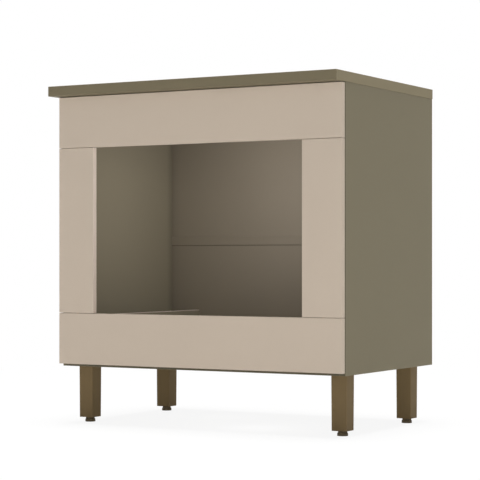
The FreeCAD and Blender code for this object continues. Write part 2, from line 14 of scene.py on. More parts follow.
import bmesh
import bpy
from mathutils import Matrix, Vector

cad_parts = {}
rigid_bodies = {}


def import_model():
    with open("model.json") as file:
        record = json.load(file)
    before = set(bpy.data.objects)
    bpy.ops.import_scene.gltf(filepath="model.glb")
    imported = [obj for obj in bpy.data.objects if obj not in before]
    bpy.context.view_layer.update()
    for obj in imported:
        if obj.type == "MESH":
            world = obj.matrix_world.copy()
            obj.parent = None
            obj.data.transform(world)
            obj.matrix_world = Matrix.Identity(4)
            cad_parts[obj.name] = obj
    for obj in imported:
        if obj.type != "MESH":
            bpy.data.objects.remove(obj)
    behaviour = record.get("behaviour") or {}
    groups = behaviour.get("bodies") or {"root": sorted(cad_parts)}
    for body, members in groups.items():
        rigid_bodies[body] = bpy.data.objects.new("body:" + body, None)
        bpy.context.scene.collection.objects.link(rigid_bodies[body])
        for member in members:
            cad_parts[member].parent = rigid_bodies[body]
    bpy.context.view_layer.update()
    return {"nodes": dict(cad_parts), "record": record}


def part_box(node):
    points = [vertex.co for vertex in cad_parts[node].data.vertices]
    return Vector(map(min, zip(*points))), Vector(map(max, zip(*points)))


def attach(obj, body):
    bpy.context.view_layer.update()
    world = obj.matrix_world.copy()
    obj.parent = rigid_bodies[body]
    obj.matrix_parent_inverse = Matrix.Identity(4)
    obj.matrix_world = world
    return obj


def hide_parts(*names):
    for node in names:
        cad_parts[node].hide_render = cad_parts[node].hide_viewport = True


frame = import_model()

log = logging.getLogger("oven_base_cabinet")

Piece = bpy.types.Object
Triple = tuple[float, float, float]
Colour = Triple
Box = tuple[Vector, Vector]
Span = tuple[float, float]
Outline = list[tuple[float, float]]
Site = tuple[Vector, Vector]
Number = Union[float, "Wire"]

MM = 0.001
CORNERS = ("front_left", "front_right", "rear_left", "rear_right")

# Points of a CAD mesh nearer than WELD are one point, and a screw's points nearer than AT_END to
# its end belong to that end.
WELD, AT_END = 0.002 * MM, 0.02 * MM
# Faces that turn by less than FLAT are one face. A turn of more than SHARP is an edge, and in a
# turned form one of more than SHARP_TURNED.
FLAT, SHARP, SHARP_TURNED = math.radians(1), math.radians(35), math.radians(40)


def srgb(red: int, green: int, blue: int) -> Colour:
    """Turns a colour as it is seen on a screen into the linear one that a shader takes.

    Args:
        red: Red from 0 to 255.
        green: Green from 0 to 255.
        blue: Blue from 0 to 255.

    Returns:
        The same colour as linear values from 0 to 1.
    """
    parts = [value / 255 for value in (red, green, blue)]
    return tuple(v / 12.92 if v <= 0.04045 else ((v + 0.055) / 1.055) ** 2.4 for v in parts)


# ------------ Node trees ------------


class Wire:
    """A node's output socket that takes part in Python's arithmetic.

    An expression on wires adds the Math nodes that work it out.
    """

    def __init__(self, graph: "Graph", socket: bpy.types.NodeSocket) -> None:
        """Keeps the socket and the graph that new nodes go into."""
        self.graph = graph
        self.socket = socket

    def _maths(self, operation: str, *values: Number) -> "Wire":
        """Adds one Math node.

        Args:
            operation: The Math node's operation.
            values: Its inputs in order.

        Returns:
            The wire of its result.
        """
        return self.graph.wire("ShaderNodeMath", {"operation": operation}, dict(enumerate(values)))

    def __add__(self, other: Number) -> "Wire":
        """Adds."""
        return self._maths("ADD", self, other)

    __radd__ = __add__

    def __sub__(self, other: Number) -> "Wire":
        """Takes the other one away."""
        return self._maths("SUBTRACT", self, other)

    def __rsub__(self, other: Number) -> "Wire":
        """Takes this one away from the other."""
        return self._maths("SUBTRACT", other, self)

    def __mul__(self, other: Number) -> "Wire":
        """Multiplies."""
        return self._maths("MULTIPLY", self, other)

    __rmul__ = __mul__

    def __truediv__(self, other: Number) -> "Wire":
        """Divides by the other one."""
        return self._maths("DIVIDE", self, other)

    def __abs__(self) -> "Wire":
        """Drops the sign."""
        return self._maths("ABSOLUTE", self)

    def least(self, other: Number) -> "Wire":
        """The lesser of the two."""
        return self._maths("MINIMUM", self, other)

    def most(self, other: Number) -> "Wire":
        """The greater of the two."""
        return self._maths("MAXIMUM", self, other)

    def rise(self, start: float, end: float) -> "Wire":
        """Goes smoothly from 0 to 1 while the value goes from start to end.

        Args:
            start: The value that gives 0.
            end: The value that gives 1; it may be below start.

        Returns:
            The wire of the smooth step.
        """
        settings = {"interpolation_type": "SMOOTHSTEP"}
        sockets = {"Value": self, "From Min": start, "From Max": end}
        return self.graph.wire("ShaderNodeMapRange", settings, sockets)


class Graph:
    """A node tree that is being filled."""

    def __init__(self, tree: bpy.types.NodeTree) -> None:
        """Takes the tree and empties it."""
        self.tree = tree
        tree.nodes.clear()

    def node(self, kind: str, settings: dict[str, Any] | None = None,
             sockets: dict[str | int, Any] | None = None) -> bpy.types.Node:
        """Adds a node.

        Args:
            kind: The node's type name.
            settings: What is set on the node itself, before its sockets.
            sockets: A value or a link for each named or numbered input.

        Returns:
            The new node.
        """
        made = self.tree.nodes.new(kind)
        for name, value in (settings or {}).items():
            setattr(made, name, value)
        for key, value in (sockets or {}).items():
            self.feed(made.inputs[key], value)
        return made

    def feed(self, socket: bpy.types.NodeSocket, value: Any) -> None:
        """Gives an input its link or its value.

        Args:
            socket: The input.
            value: A wire, an output socket, a number, a colour, a vector or a named thing.
        """
        if isinstance(value, Wire):
            value = value.socket
        if isinstance(value, bpy.types.NodeSocket):
            self.tree.links.new(value, socket)
        elif socket.type == "RGBA":
            socket.default_value = (*value, 1.0)
        else:
            socket.default_value = value

    def wire(self, kind: str, settings: dict[str, Any] | None = None,
             sockets: dict[str | int, Any] | None = None, output: str | int = 0) -> Wire:
        """Adds a node and returns one of its outputs.

        Args:
            kind: The node's type name.
            settings: What is set on the node itself.
            sockets: A value or a link for each named or numbered input.
            output: The name or number of the output.

        Returns:
            The wire of that output.
        """
        return Wire(self, self.node(kind, settings, sockets).outputs[output])


class Surface(Graph):
    """The shader tree of one piece, with the measures that its finish is drawn with."""

    def __init__(self, material: bpy.types.Material, box: Box) -> None:
        """Starts the tree.

        Args:
            material: The material to fill.
            box: The lowest and the highest corner of the piece.
        """
        super().__init__(material.node_tree)
        self.low, self.high = box
        self.place = self.wire("ShaderNodeTexCoord", output="Object")
        apart = self.node("ShaderNodeSeparateXYZ", sockets={0: self.place})
        self.x, self.y, self.z = (Wire(self, out) for out in apart.outputs)

    def noise(self, size: float, detail: float, stretch: Triple = (1.0, 1.0, 1.0),
              shift: float = 0.0) -> Wire:
        """Soft random marks.

        Args:
            size: How large one mark is.
            detail: How many finer layers it has.
            stretch: How many times longer the marks are along each axis.
            shift: Moves the pattern, so that two of one size differ.

        Returns:
            A wire about 0 that goes from about -1 to 1.
        """
        scale = tuple(1 / (size * s) for s in stretch)
        spot = self.wire("ShaderNodeVectorMath", {"operation": "MULTIPLY_ADD"},
                         {0: self.place, 1: scale, 2: (shift, shift, shift)})
        marks = self.wire("ShaderNodeTexNoise",
                          sockets={"Vector": spot, "Scale": 1.0, "Detail": detail})
        return (marks - 0.5) * 2

    def flakes(self, size: float, stretch: Triple = (1.0, 1.0, 1.0)) -> Wire:
        """Cells with one random value each.

        Args:
            size: How large one cell is.
            stretch: How many times longer the cells are along each axis.

        Returns:
            A wire from 0 to 1.
        """
        scale = tuple(1 / (size * s) for s in stretch)
        spot = self.wire("ShaderNodeVectorMath", {"operation": "MULTIPLY"},
                         {0: self.place, 1: scale})
        cells = self.wire("ShaderNodeTexVoronoi", sockets={"Vector": spot, "Scale": 1.0},
                          output="Color")
        return self.wire("ShaderNodeSeparateXYZ", sockets={0: cells})

    def insets(self) -> tuple[Wire, Wire, Wire]:
        """How deep a point lies inside the piece's box.

        Returns:
            The depth along X, along Y and along Z.
        """
        middle, half = (self.low + self.high) / 2, (self.high - self.low) / 2
        wires = enumerate((self.x, self.y, self.z))
        return tuple(half[k] - abs(wire - middle[k]) for k, wire in wires)

    def depth(self) -> Wire:
        """How far a point lies under the nearest face of the box."""
        a, b, c = self.insets()
        return a.least(b).least(c)

    def from_edge(self) -> Wire:
        """How far a point on a face lies from the nearest edge of the box."""
        a, b, c = self.insets()
        return a.least(b).most(a.most(b).least(c))

    def blend(self, share: Number, under: Any, over: Any) -> Wire:
        """Mixes two colours.

        Args:
            share: How much of the second one shows, from 0 to 1.
            under: The first colour.
            over: The second colour.

        Returns:
            The wire of the mixed colour.
        """
        return self.wire("ShaderNodeMix", {"data_type": "RGBA"}, {0: share, 6: under, 7: over}, 2)

    def toned(self, colour: Any, tone: Number) -> Wire:
        """A colour made lighter or darker.

        Args:
            colour: A colour, or the wire of one.
            tone: What it is multiplied by.

        Returns:
            The wire of the result.
        """
        return self.wire("ShaderNodeVectorMath", {"operation": "SCALE"}, {0: colour, 3: tone})

    def shade(self, colour: Any, roughness: Number, relief: Wire, relief_height: float,
              **constants: float) -> None:
        """Ends the tree in its shader.

        Args:
            colour: The base colour.
            roughness: The roughness.
            relief: A height from -1 to 1 that raises the surface.
            relief_height: How high a relief of 1 stands.
            constants: Other sockets of the shader, with spaces as underscores.
        """
        normal = self.wire("ShaderNodeBump", sockets={
            "Strength": 1.0, "Distance": relief_height, "Height": relief})
        sockets = {name.replace("_", " "): value for name, value in constants.items()}
        sockets.update({"Base Color": colour, "Roughness": roughness, "Normal": normal})
        shader = self.wire("ShaderNodeBsdfPrincipled", sockets=sockets)
        self.node("ShaderNodeOutputMaterial", sockets={"Surface": shader})


# ------------ Finishes ------------


@dataclass(frozen=True)
class Finish:
    """What every finish has: a name, its colour, and the record's slot that it stands for."""

    name: str
    slot: str
    colour: Colour

    def paint(self, surface: Surface) -> None:
        """Fills the tree of one piece. Each finish has its own way."""
        raise NotImplementedError

    def material(self, piece: str, box: Box) -> bpy.types.Material:
        """Makes the material of one piece.

        Args:
            piece: The name of the piece.
            box: Its lowest and its highest corner.

        Returns:
            The new material.
        """
        made = bpy.data.materials.new(f"{self.name}_{piece}")
        made.use_nodes = True
        made.diffuse_color = (*self.colour, 1.0)
        self.paint(Surface(made, box))
        return made


CHIP_LIGHT = srgb(196, 168, 128)
CHIP_DARK = srgb(140, 108, 72)
COARSE_CHIP = 2.2 * MM
FINE_CHIP = 0.8 * MM


def chipboard(surface: Surface) -> tuple[Wire, Wire]:
    """The pressed wood flakes inside a laminated board.

    Args:
        surface: The tree of the board.

    Returns:
        The colour, and a height from -1 to 1.
    """
    coarse = surface.flakes(COARSE_CHIP, (1.6, 1.3, 0.7))
    fine = surface.flakes(FINE_CHIP, (1.5, 1.2, 0.8))
    mixed = coarse * 0.6 + fine * 0.4
    return surface.blend(mixed, CHIP_DARK, CHIP_LIGHT), mixed * 2 - 1


@dataclass(frozen=True)
class Laminate(Finish):
    """Melamine-faced chipboard with banded edges: matt, finely pearled, and paler at its arrises,
    partly worn by rubbing and partly as a painted highlight. Its end bands can carry painted light,
    its front band painted shade, and a side painted shade in the niche's rear corner.

    Each span holds the distance at which a mark starts to show and the one at which it is full.
    """

    roughness: float = 0.55
    specular: float = 0.12
    cloud: float = 0.018
    cloud_size: float = 220 * MM
    speckle: float = 0.02
    speckle_size: float = 1.1 * MM
    pearl_size: float = 0.45 * MM
    scuff_size: float = 9 * MM
    relief: float = 0.06 * MM
    # How much paler the arrises grow, partly worn by rubbing and partly as a painted highlight.
    arris_paling: float = 0.16
    arris: Span = (1.1 * MM, 0.2 * MM)
    band: float = 1.0 * MM
    seam: float = 0.06
    seam_line: Span = (0.16 * MM, 0.05 * MM)
    # The end bands' tone is painted light, and the front band's tone is painted shade under the
    # front frame.
    painted_end_light: float = 1.0
    painted_front_shade: float = 1.0
    edge_face: Span = (0.4 * MM, 0.2 * MM)
    skin: Span = (0.55 * MM, 0.75 * MM)
    raw_rear: bool = False
    rear_face: Span = (0.3 * MM, 0.1 * MM)
    # The strength of the painted shade in the niche's rear corner, where a side meets the back
    # board.
    painted_corner_shade: float = 0.0
    corner_inset: float = 6.3 * MM
    corner_reach: Span = (30 * MM, 2 * MM)

    def paint(self, surface: Surface) -> None:
        """Draws the laminate, with chipboard wherever its skin is cut or missing.

        Args:
            surface: The tree of the board.
        """
        cloud = surface.noise(self.cloud_size, 2.0)
        speckle = surface.noise(self.speckle_size, 3.0)
        pearl = surface.noise(self.pearl_size, 2.0, shift=7.0)
        scuffs = surface.noise(self.scuff_size, 4.0, shift=3.0)
        edge = surface.from_edge()
        # The paler arris is partly worn by rubbing and partly a painted highlight along the edges.
        arris = edge.rise(*self.arris) * (0.7 + scuffs * 0.6).most(0)
        seam = abs(edge - self.band).rise(*self.seam_line)
        # The first term is painted light on the end bands and painted shade on the front band.
        tone = (self.band_tone(surface) + cloud * self.cloud + speckle * self.speckle
                + arris * self.arris_paling - seam * self.seam)
        # Painted shade: darkens the side's inner face towards the corner where it meets the back
        # board.
        if self.painted_corner_shade:
            tone = tone - self.corner(surface) * self.painted_corner_shade
        core, chips = chipboard(surface)
        cut = self.cut(surface)
        colour = surface.blend(cut, surface.toned(self.colour, tone), core)
        rough = self.roughness + speckle * 0.05 + scuffs * 0.04 + cut * (0.9 - self.roughness)
        relief = pearl * (1 - cut) * 0.25 + chips * cut - seam * 0.6
        surface.shade(colour, rough, relief, self.relief, Specular_IOR_Level=self.specular)

    def band_tone(self, surface: Surface) -> Wire:
        """The painted light and shade on the bands of the board's edges.

        Args:
            surface: The tree of the board.

        Returns:
            1 on the faces, painted light on the two ends and painted shade on the front edge.
        """
        end = surface.insets()[0].rise(*self.edge_face)
        front = (surface.y - surface.low.y).rise(*self.edge_face)
        return 1 + end * (self.painted_end_light - 1) + front * (self.painted_front_shade - 1)

    def corner(self, surface: Surface) -> Wire:
        """The corner in which a side's inner face meets the back board, where painted shade is
        laid.

        Args:
            surface: The tree of the side.

        Returns:
            1 in the corner and 0 away from it.
        """
        inner = (abs(surface.x) - abs(surface.low.x + surface.high.x) / 2).rise(1 * MM, -1 * MM)
        near = (surface.high.y - surface.y - self.corner_inset).rise(*self.corner_reach)
        return inner * near

    def cut(self, surface: Surface) -> Wire:
        """Where the bare chipboard shows.

        Args:
            surface: The tree of the board.

        Returns:
            1 where a bore or groove goes through the skin or the rear has no band, and else 0.
        """
        bored = surface.depth().rise(*self.skin)
        if self.raw_rear:
            return bored.most((surface.high.y - surface.y).rise(*self.rear_face))
        return bored


@dataclass(frozen=True)
class Hardboard(Finish):
    """Thin pressed fibre board, foiled on the face towards the niche and bare brown at the rear.

    Its groove is how deep it sits in the sides, and its lap how far the profile covers its top.
    Towards the sides its foil is darkened as painted shade, and just below the lap it carries a
    stripe of painted shadow from the profile.
    """

    specular: float = 0.12
    fibre: Colour = srgb(122, 88, 56)
    fibre_size: float = 0.9 * MM
    cloud_size: float = 200 * MM
    speckle_size: float = 1.0 * MM
    relief: float = 0.08 * MM
    foil: Span = (0.2 * MM, 0.4 * MM)
    groove: float = 6 * MM
    # Painted shade on the foil near the sides, in the niche's corners: its strength, and its wide
    # and narrow falloff.
    painted_side_shade: float = 0.14
    painted_side_shade_wide: Span = (26 * MM, 2 * MM)
    painted_side_shade_narrow: Span = (7 * MM, 0.0)
    lap: float = 6 * MM
    # A stripe of painted shadow under the profile's lip: its strength, how far below the lap it
    # lies and how wide it is.
    painted_profile_shadow: float = 0.45
    profile_shadow_drop: float = 0.9 * MM
    profile_shadow_width: Span = (1.3 * MM, 0.7 * MM)

    def paint(self, surface: Surface) -> None:
        """Draws the foil and the bare fibres.

        Args:
            surface: The tree of the board.
        """
        cloud = surface.noise(self.cloud_size, 2.0)
        speckle = surface.noise(self.speckle_size, 3.0)
        fibres = (surface.noise(self.fibre_size, 4.0, (6.0, 1.0, 1.0))
                  + surface.noise(self.fibre_size, 4.0, (1.0, 1.0, 5.0)))
        side = surface.insets()[0] - self.groove
        # Painted shade: the foil darkens towards the sides.
        painted_side_shade = side.rise(*self.painted_side_shade_wide) * 0.6 + side.rise(*self.painted_side_shade_narrow) * 0.4
        # Painted shadow: a dark stripe just below the profile's lip.
        painted_profile_shadow = abs(surface.high.z - surface.z - self.lap - self.profile_shadow_drop).rise(*self.profile_shadow_width)
        tone = 1 + cloud * 0.02 + speckle * 0.02 - painted_side_shade * self.painted_side_shade - painted_profile_shadow * self.painted_profile_shadow
        bare_tone = 1 + cloud * 0.08 + fibres * 0.13
        inside = (surface.y - surface.low.y).rise(*self.foil)
        colour = surface.blend(inside, surface.toned(self.colour, tone),
                               surface.toned(self.fibre, bare_tone))
        rough = 0.5 + inside * 0.32 + speckle * 0.05
        relief = fibres * inside * 0.5 + speckle * (1 - inside) * 0.15
        surface.shade(colour, rough, relief, self.relief, Specular_IOR_Level=self.specular)


@dataclass(frozen=True)
class Moulding(Finish):
    """Moulded plastic with an eroded texture, polished and paler where hands and floors rub it."""

    roughness: float = 0.45
    specular: float = 0.15
    grain_size: float = 0.7 * MM
    grain_height: float = 0.045 * MM
    flow_size: float = 35 * MM
    scuff_size: float = 4 * MM
    arris_paling: float = 0.14
    arris: Span = (1.8 * MM, 0.3 * MM)

    def paint(self, surface: Surface) -> None:
        """Draws the plastic.

        Args:
            surface: The tree of the moulding.
        """
        grain = surface.noise(self.grain_size, 3.0)
        flow = surface.noise(self.flow_size, 2.0, (1.0, 1.0, 3.0))
        scuffs = surface.noise(self.scuff_size, 4.0, shift=5.0)
        arris = surface.from_edge().rise(*self.arris) * (0.6 + scuffs * 0.8).most(0)
        tone = 1 + grain * 0.05 + flow * 0.03 + arris * self.arris_paling
        rough = self.roughness + grain * 0.05 + scuffs * 0.05 - arris * 0.1
        surface.shade(surface.toned(self.colour, tone), rough, grain, self.grain_height,
                      Specular_IOR_Level=self.specular)


@dataclass(frozen=True)
class Zinc(Finish):
    """Bright zinc on steel, with the crystals of the plating and fine scratches."""

    roughness: float = 0.32
    crystal_size: float = 1.6 * MM
    dull_size: float = 3.5 * MM
    scratch_size: float = 0.25 * MM
    scratch_depth: float = 0.006 * MM

    def paint(self, surface: Surface) -> None:
        """Draws the metal.

        Args:
            surface: The tree of the piece.
        """
        crystals = surface.flakes(self.crystal_size)
        dull = surface.noise(self.dull_size, 3.0, shift=2.0)
        scratches = (surface.noise(self.scratch_size, 3.0, (12.0, 1.0, 1.0))
                     + surface.noise(self.scratch_size, 3.0, (1.0, 1.0, 9.0)))
        tone = 0.93 + crystals * 0.1 + dull * 0.06
        rough = self.roughness + crystals * 0.08 + dull * 0.08 + scratches * 0.04
        surface.shade(surface.toned(self.colour, tone), rough, scratches, self.scratch_depth,
                      Metallic=1.0)


@dataclass(frozen=True)
class Beech(Finish):
    """Bare turned beech with its short dark rays."""

    grain: Triple = (8.0, 1.0, 1.0)
    roughness: float = 0.65
    streak_size: float = 0.6 * MM
    streak_height: float = 0.03 * MM
    ray_size: float = 0.3 * MM
    ray_tone: float = 0.62
    band_size: float = 2.5 * MM

    def paint(self, surface: Surface) -> None:
        """Draws the wood.

        Args:
            surface: The tree of the dowels.
        """
        streaks = surface.noise(self.streak_size, 3.0, self.grain)
        rays = surface.noise(self.ray_size, 1.0, self.grain, 4.0).rise(0.35, 0.7)
        bands = surface.noise(self.band_size, 2.0, self.grain, 9.0)
        wood = surface.toned(self.colour, 1 + streaks * 0.1 + bands * 0.1)
        colour = surface.blend(rays * 0.6, wood, surface.toned(self.colour, self.ray_tone))
        surface.shade(colour, self.roughness + streaks * 0.08, streaks, self.streak_height)


# The worktop's ends are lightened as painted light.
WORKTOP_LAMINATE = Laminate("worktop_laminate", "worktop_laminate", srgb(119, 110, 88),
                            painted_end_light=1.42, raw_rear=True)
# The carcass boards' front edges are darkened as painted shade under the front frame.
CARCASS_LAMINATE = Laminate("carcass_laminate", "carcass_laminate", srgb(129, 121, 99),
                            painted_front_shade=0.5, raw_rear=True)
# The sides carry painted shade in the niche's rear corner.
SIDE_LAMINATE = replace(CARCASS_LAMINATE, painted_corner_shade=0.22)
# The front boards' ends carry slight painted light.
FRONT_LAMINATE = Laminate("front_laminate", "front_laminate", srgb(201, 186, 169),
                          arris_paling=0.1, painted_end_light=1.05)
BACK_BOARD = Hardboard("back_board", "back_board", srgb(124, 115, 97))
EDGE_BAND = Moulding("edge_band", "edge_band", srgb(201, 186, 169), roughness=0.5)
JOINT_PROFILE = Moulding("joint_profile", "joint_profile", srgb(123, 114, 96),
                         roughness=0.5, arris_paling=0.03)
LEG_PLASTIC = Moulding("leg_plastic", "leg_plastic", srgb(122, 104, 75), specular=0.04, arris_paling=0.09)
FOOT_PLASTIC = Moulding("foot_plastic", "foot_plastic", srgb(103, 91, 70), roughness=0.5)
FITTING_STEEL = Zinc("fitting_steel", "fitting_steel", (0.6, 0.6, 0.6))
DOWEL_BEECH = Beech("dowel_wood", "dowel_wood", srgb(205, 178, 135))
UPRIGHT_BEECH = replace(DOWEL_BEECH, name="upright_dowel_wood", grain=(1.0, 1.0, 8.0))


# ------------ Meshes ------------


def placed(name: str, mesh: bpy.types.Mesh) -> Piece:
    """Puts a mesh into the scene at the origin.

    Args:
        name: The object's name.
        mesh: The mesh, which holds its own place.

    Returns:
        The new object.
    """
    made = bpy.data.objects.new(name, mesh)
    bpy.context.scene.collection.objects.link(made)
    return made


def formed(name: str, shape: bmesh.types.BMesh) -> Piece:
    """Turns a finished shape into an object with smooth faces, and frees the shape.

    Args:
        name: The object's name.
        shape: The shape, which holds its own place.

    Returns:
        The new object.
    """
    for face in shape.faces:
        face.smooth = True
    mesh = bpy.data.meshes.new(name)
    shape.to_mesh(mesh)
    shape.free()
    return placed(name, mesh)


def plain(obj: Piece) -> Piece:
    """Turns an object's modifiers into its mesh.

    Args:
        obj: An object with modifiers.

    Returns:
        The same object with a plain mesh.
    """
    bpy.context.view_layer.update()
    seen = obj.evaluated_get(bpy.context.evaluated_depsgraph_get())
    mesh = bpy.data.meshes.new_from_object(seen)
    mesh.name = obj.name
    obj.modifiers.clear()
    obj.data = mesh
    return obj


def eased(obj: Piece, radius: float, steps: int) -> Piece:
    """Rounds an object's sharp edges and evens its shading.

    Args:
        obj: The object.
        radius: How far the edges are rounded.
        steps: How many faces go round an edge.

    Returns:
        The same object with a plain mesh.
    """
    bevel = obj.modifiers.new("rounded edges", "BEVEL")
    bevel.width, bevel.segments = radius, steps
    bevel.limit_method, bevel.angle_limit = "ANGLE", SHARP
    obj.modifiers.new("even shading", "WEIGHTED_NORMAL")
    return plain(obj)


def merged(node: str) -> bmesh.types.BMesh:
    """A copy of a CAD node's mesh with its triangles joined.

    Args:
        node: The node's name.

    Returns:
        The joined mesh, to be freed by the caller.
    """
    made = bmesh.new()
    made.from_mesh(frame["nodes"][node].data)
    bmesh.ops.remove_doubles(made, verts=made.verts, dist=WELD)
    return made


def softened(name: str, node: str, radius: float, steps: int = 2) -> Piece:
    """A CAD node's own shape with its sharp edges rounded and its curves smooth.

    Args:
        name: The new object's name.
        node: The CAD node.
        radius: How far the edges are rounded.
        steps: How many faces go round an edge.

    Returns:
        The new object, with a plain mesh.
    """
    shape = merged(node)
    bmesh.ops.dissolve_limit(shape, angle_limit=FLAT, verts=shape.verts, edges=shape.edges)
    return eased(formed(name, shape), radius, steps)


def board(name: str, node: str, arris: float) -> Piece:
    """A board with finely rounded arrises, as large as a CAD node.

    Args:
        name: The new object's name.
        node: The CAD node that it stands for.
        arris: The radius of its arrises.

    Returns:
        The new object, with a plain mesh.
    """
    low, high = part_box(node)
    shape = bmesh.new()
    bmesh.ops.create_cube(shape, size=1.0)
    for vert in shape.verts:
        vert.co = Vector(low[k] if vert.co[k] < 0 else high[k] for k in range(3))
    return eased(formed(name, shape), arris, steps=3)


def lathe(name: str, profile: Outline, middle: Vector, around: int) -> Piece:
    """A turned form about an upright axis.

    Args:
        name: The new object's name.
        profile: (radius, height) points from the axis at the bottom round to the axis at the top.
        middle: A point on the axis; heights start from it.
        around: How many steps one turn has.

    Returns:
        The new object.
    """
    shape = bmesh.new()
    rings = []
    for radius, height in profile:
        turns = (math.tau * k / around for k in range(around if radius > 0 else 1))
        spots = (Vector((radius * math.cos(a), radius * math.sin(a), height)) for a in turns)
        rings.append([shape.verts.new(middle + spot) for spot in spots])
    for low, high in zip(rings, rings[1:]):
        for k in range(around):
            corners = [low[k % len(low)], low[(k + 1) % len(low)],
                       high[(k + 1) % len(high)], high[k % len(high)]]
            shape.faces.new(dict.fromkeys(corners))
    bmesh.ops.recalc_face_normals(shape, faces=shape.faces)
    made = formed(name, shape)
    made.data.set_sharp_from_angle(angle=SHARP_TURNED)
    return made


class HeadStyle(Enum):
    """How a screw's head sits."""

    SUNK = "cone let into the board"
    PAN = "low dome on the surface"
    DISC = "flat disc"


@dataclass(frozen=True)
class ScrewKind:
    """The sizes of one kind of screw."""

    style: HeadStyle
    head_radius: float
    head_height: float
    core_radius: float
    crest_radius: float
    length: float
    pitch: float
    plain_shank: float = 0.0
    point: float = 0.0
    recess: float = 0.0
    around: int = 20

    def profile(self) -> Outline:
        """The outline of the screw without its thread.

        Returns:
            (radius, height) points, with the seat of the head at height 0 and the tip upwards.
        """
        r, h, core = self.head_radius, self.head_height, self.core_radius
        if self.style is HeadStyle.SUNK:
            head = [(0, 0), (r * 0.97, 0), (r, 0.12 * h), (core, h)]
        elif self.style is HeadStyle.PAN:
            head = [(0, -h), (0.45 * r, -h), (0.8 * r, -0.86 * h), (0.95 * r, -0.6 * h),
                    (r, -0.25 * h), (r, 0), (core, 0)]
        else:
            soft = 0.12 * h
            head = [(0, -h), (r - soft, -h), (r, soft - h), (r, -soft), (r - soft, 0), (core, 0)]
        taper = self.point or 0.15 * core
        tip = core * (0.35 if self.point else 0.85)
        return head + [(core, self.length - taper), (tip, self.length), (0, self.length)]


